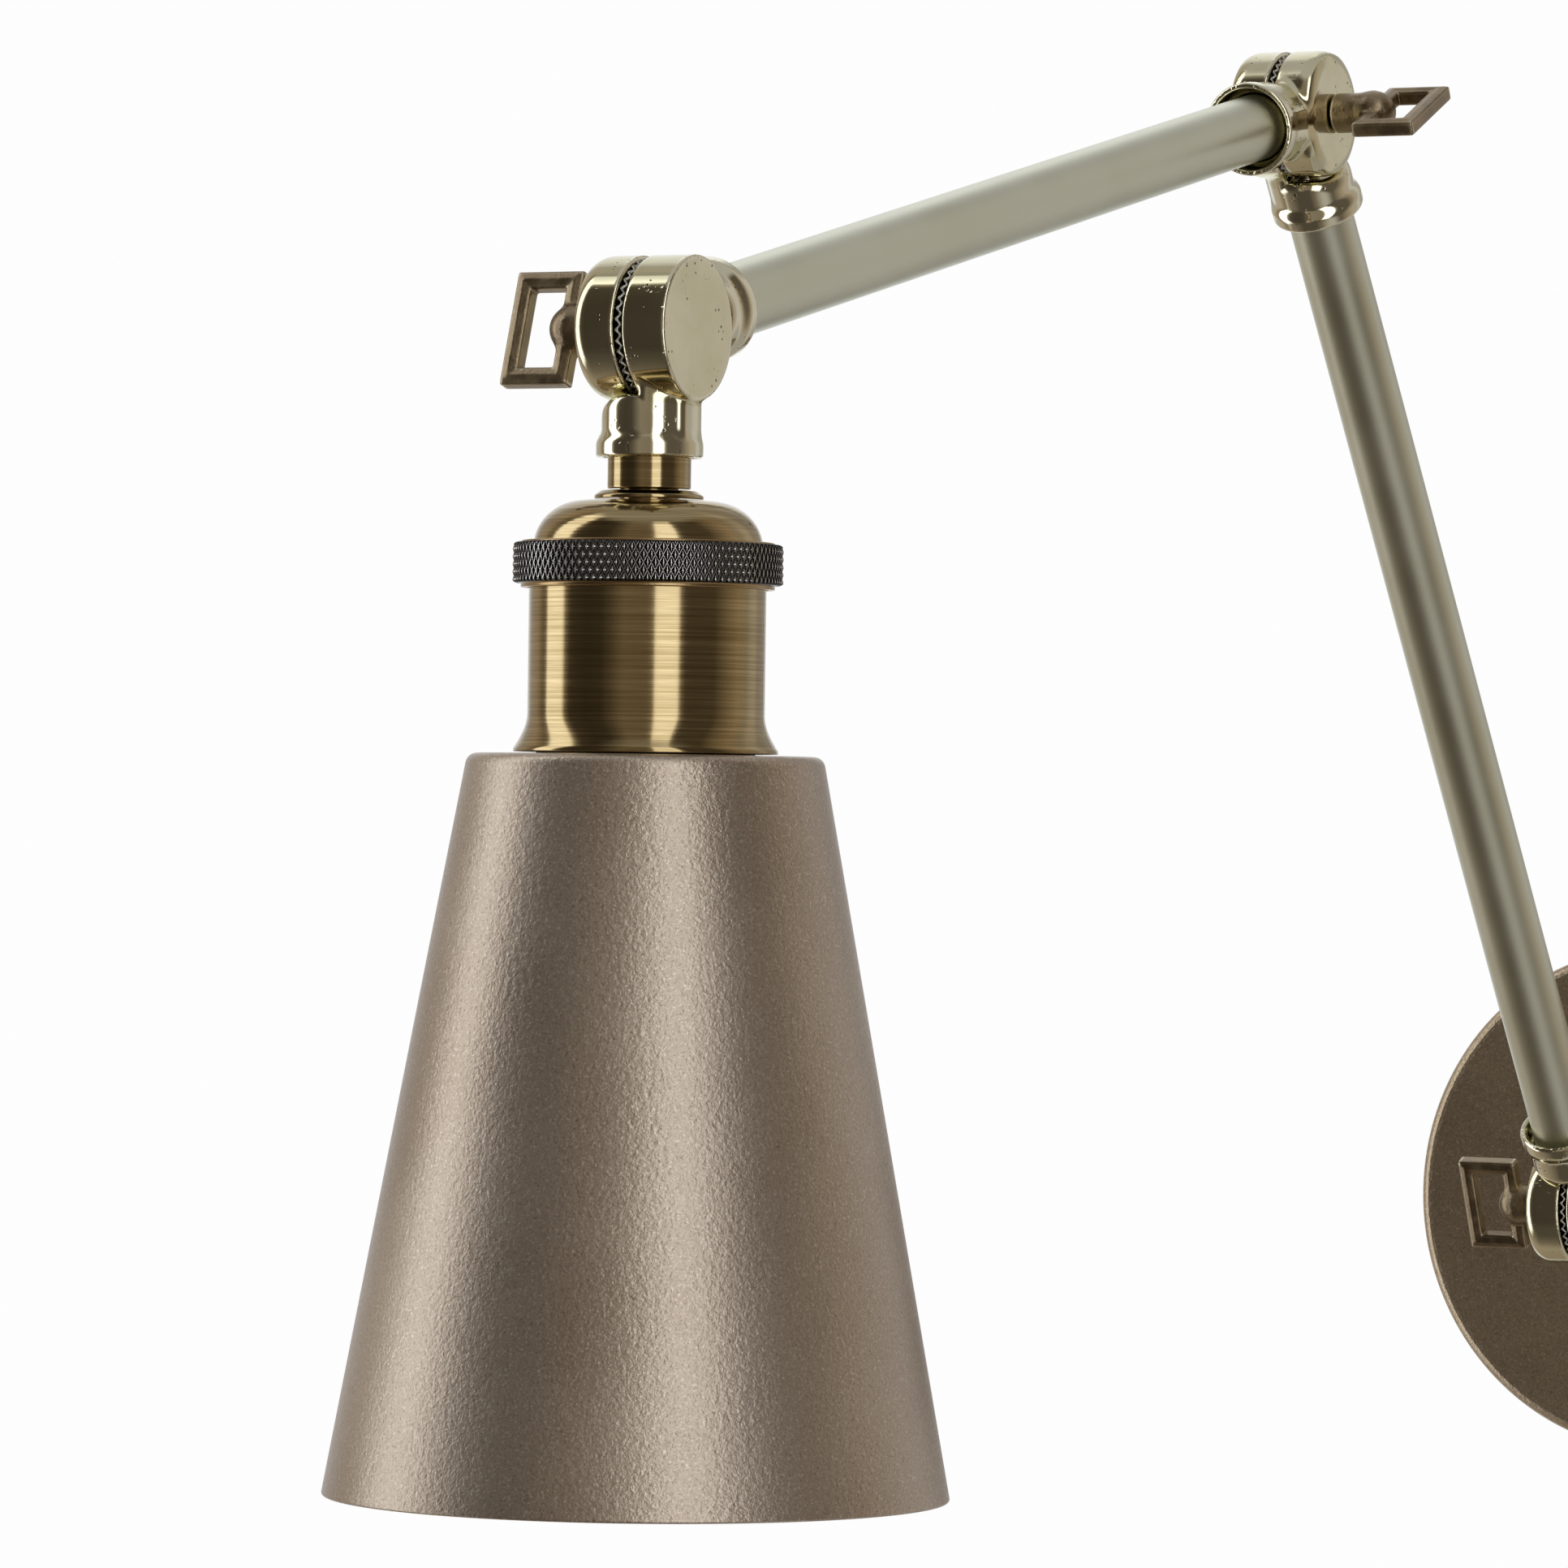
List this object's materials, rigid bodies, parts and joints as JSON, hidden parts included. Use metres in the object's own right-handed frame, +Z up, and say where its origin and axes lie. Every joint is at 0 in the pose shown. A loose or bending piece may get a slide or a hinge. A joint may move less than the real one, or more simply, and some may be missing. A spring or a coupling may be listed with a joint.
{
  "type": "swing arm wall sconce",
  "caption": "Wall lamp on a round backplate: two hinged arms with loop-key knuckles carry a downlight socket and an open cone shade.",
  "frame": {"origin": "middle of the backplate, on the wall plane", "axes": "+Y into the wall, +Z up, +X to the right seen from the room; the lamp reaches out along -Y"},
  "size_m": [0.1106, 0.5392, 0.289],
  "materials": {
    "dark_bronze_paint": "satin dark bronze paint",
    "bronze_paint": "satin champagne bronze paint with a fine metallic fleck",
    "pale_brass": "satin antique brass plate",
    "polished_brass": "polished antique brass on a casting",
    "cast_brass": "dark antique brass casting",
    "brushed_brass": "brushed antique brass",
    "black_knurl": "blackened knurled brass",
    "zinc_steel": "zinc plated steel",
    "contact_brass": "bright contact metal",
    "phenolic": "black moulded phenolic",
    "earth_green": "green dyed screw",
    "sleeve_black": "black cable sleeve",
    "sleeve_white": "white cable sleeve",
    "orange_cap": "orange moulded connector"
  },
  "bodies": {
    "wall_plate": {"backplate": "dark_bronze_paint", "crossbar": "zinc_steel", "fixing_knob_top": "polished_brass", "fixing_knob_bottom": "polished_brass", "earth_screw": "earth_green", "connector_live": "orange_cap", "connector_neutral": "orange_cap", "lead_live": "sleeve_black", "lead_neutral": "sleeve_white", "stem_bush": "pale_brass"},
    "stem": {"wall_knuckle_fixed": "polished_brass", "stem_tube": "pale_brass", "stem_washer": "zinc_steel", "stem_nut": "zinc_steel", "stem_cable": "sleeve_black"},
    "lower_arm": {"wall_knuckle_arm": "polished_brass", "elbow_knuckle_lower": "polished_brass", "lower_arm_tube": "pale_brass", "lower_arm_cable": "sleeve_black", "wall_star_washer": "zinc_steel", "elbow_star_washer": "zinc_steel"},
    "upper_arm": {"elbow_knuckle_upper": "polished_brass", "head_knuckle_arm": "polished_brass", "upper_arm_tube": "pale_brass", "upper_arm_cable": "sleeve_black"},
    "head": {"head_knuckle_socket": "polished_brass", "head_star_washer": "zinc_steel", "socket_neck": "brushed_brass", "neck_flange": "brushed_brass", "socket_cap": "brushed_brass", "cap_nut": "zinc_steel", "socket_shell": "brushed_brass", "socket_liner": "phenolic", "contact_shell": "contact_brass", "centre_contact": "contact_brass", "head_cable": "sleeve_black", "shade_nut": "phenolic", "shade": "bronze_paint"},
    "clamp_ring": {"clamp_ring": "black_knurl"},
    "wall_key": {"wall_key": "cast_brass"},
    "elbow_key": {"elbow_key": "cast_brass"},
    "head_key": {"head_key": "cast_brass"}
  },
  "joints": [
    {"name": "wall_swivel", "type": "hinge", "parent": "wall_plate", "child": "stem", "pos_m": [0, -0.0235, 0], "axis": [0, 1, 0], "range_deg": [-90, 90]},
    {"name": "wall_tilt", "type": "hinge", "parent": "stem", "child": "lower_arm", "pos_m": [0, -0.063, 0], "axis": [1, 0, 0], "range_deg": [-35, 95]},
    {"name": "elbow_fold", "type": "hinge", "parent": "lower_arm", "child": "upper_arm", "pos_m": [0, -0.22201, 0.22129], "axis": [1, 0, 0], "range_deg": [-100, 35]},
    {"name": "head_tilt", "type": "hinge", "parent": "upper_arm", "child": "head", "pos_m": [0, -0.48587, 0.16401], "axis": [1, 0, 0], "range_deg": [-120, 25]},
    {"name": "wall_key_turn", "type": "hinge", "parent": "lower_arm", "child": "wall_key", "pos_m": [0, -0.063, 0], "axis": [-1, 0, 0], "range_deg": [0, 180]},
    {"name": "elbow_key_turn", "type": "hinge", "parent": "lower_arm", "child": "elbow_key", "pos_m": [0, -0.22201, 0.22129], "axis": [1, 0, 0], "range_deg": [0, 180]},
    {"name": "head_key_turn", "type": "hinge", "parent": "head", "child": "head_key", "pos_m": [0, -0.48587, 0.16401], "axis": [-1, 0, 0], "range_deg": [0, 180]},
    {"name": "clamp_ring_turn", "type": "hinge", "parent": "head", "child": "clamp_ring", "pos_m": [0, -0.48587, 0.1238], "axis": [0, 0, 1], "range_deg": [0, 180]}
  ]
}
